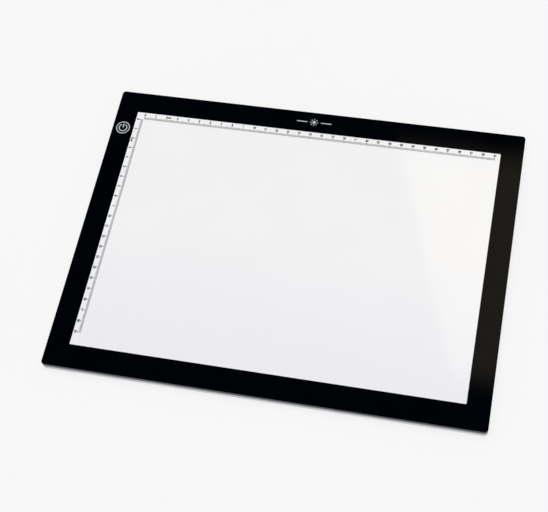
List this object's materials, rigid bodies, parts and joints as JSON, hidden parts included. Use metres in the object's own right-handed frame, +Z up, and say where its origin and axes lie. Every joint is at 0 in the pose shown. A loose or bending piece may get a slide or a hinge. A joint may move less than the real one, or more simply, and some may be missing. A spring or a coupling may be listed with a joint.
{
  "type": "light box",
  "caption": "Thin flat rectangular light box for tracing: glossy black border round a white window with ruler scales, printed touch key, dark panel edge over a silver frame, rubber feet.",
  "frame": {"origin": "centre of the footprint, on the surface that the rubber feet stand on", "axes": "+X along the long side to the right, +Y towards the ruled back edge, +Z up out of the work surface"},
  "size_m": [0.36, 0.27, 0.0089],
  "materials": {
    "clear_film": "clear hard-coated polyester film, high gloss",
    "clear_acrylic": "clear cast acrylic, its border and edges backed in black",
    "black_ink": "dense black screen print on the underside of the film",
    "silver_plastic": "fine satin moulding, silver grey",
    "pale_plastic": "fine spark-eroded texture, pale grey",
    "foot_rubber": "matt dark grey rubber",
    "screw_steel": "zinc-plated steel",
    "opal_sheet": "opal white diffuser sheet, faint satin sheen",
    "prism_film": "clear film with fine prisms",
    "guide_acrylic": "clear acrylic with a fine dot pattern",
    "white_film": "white reflector film",
    "white_circuit": "white solder mask",
    "aluminium": "plain rolled sheet",
    "foam": "soft closed-cell foam",
    "black_tape": "black double-sided tape",
    "green_circuit": "green solder mask",
    "spring_steel": "gold-coloured plating",
    "chip_plastic": "black moulding compound",
    "ferrite": "dark sintered ferrite",
    "capacitor_ceramic": "tan fired ceramic",
    "tin_plate": "tin-plated steel sheet",
    "white_nylon": "natural nylon",
    "red_wire": "red insulation",
    "black_wire": "black insulation"
  },
  "bodies": {
    "root": {"cover_film": "clear_film", "bezel_mask": "black_ink", "front_panel": "clear_acrylic", "side_frame": "silver_plastic", "rear_cover": "pale_plastic", "foot_front_left": "foot_rubber", "foot_front_middle": "foot_rubber", "foot_front_right": "foot_rubber", "foot_back_left": "foot_rubber", "foot_back_middle": "foot_rubber", "foot_back_right": "foot_rubber", "cover_screw_front_left": "screw_steel", "cover_screw_front_middle": "screw_steel", "cover_screw_front_right": "screw_steel", "cover_screw_left": "screw_steel", "cover_screw_right": "screw_steel", "cover_screw_back_left": "screw_steel", "cover_screw_back_middle": "screw_steel", "cover_screw_back_right": "screw_steel", "diffuser_sheet": "opal_sheet", "prism_film": "prism_film", "light_guide": "guide_acrylic", "reflector_sheet": "white_film", "led_strip": "white_circuit", "heat_strip": "aluminium", "cushion_left": "foam", "cushion_right": "foam", "cushion_front": "foam", "tape_front": "black_tape", "tape_back": "black_tape", "tape_left": "black_tape", "tape_right": "black_tape", "control_board": "green_circuit", "touch_spring": "spring_steel", "touch_chip": "chip_plastic", "driver_chip": "chip_plastic", "power_inductor": "ferrite", "filter_capacitor": "capacitor_ceramic", "socket_shell": "tin_plate", "socket_tongue": "chip_plastic", "wire_connector": "white_nylon", "lead_wire_black": "black_wire", "lead_wire_red": "red_wire", "board_screw_front": "screw_steel", "board_screw_back": "screw_steel"}
  },
  "joints": []
}
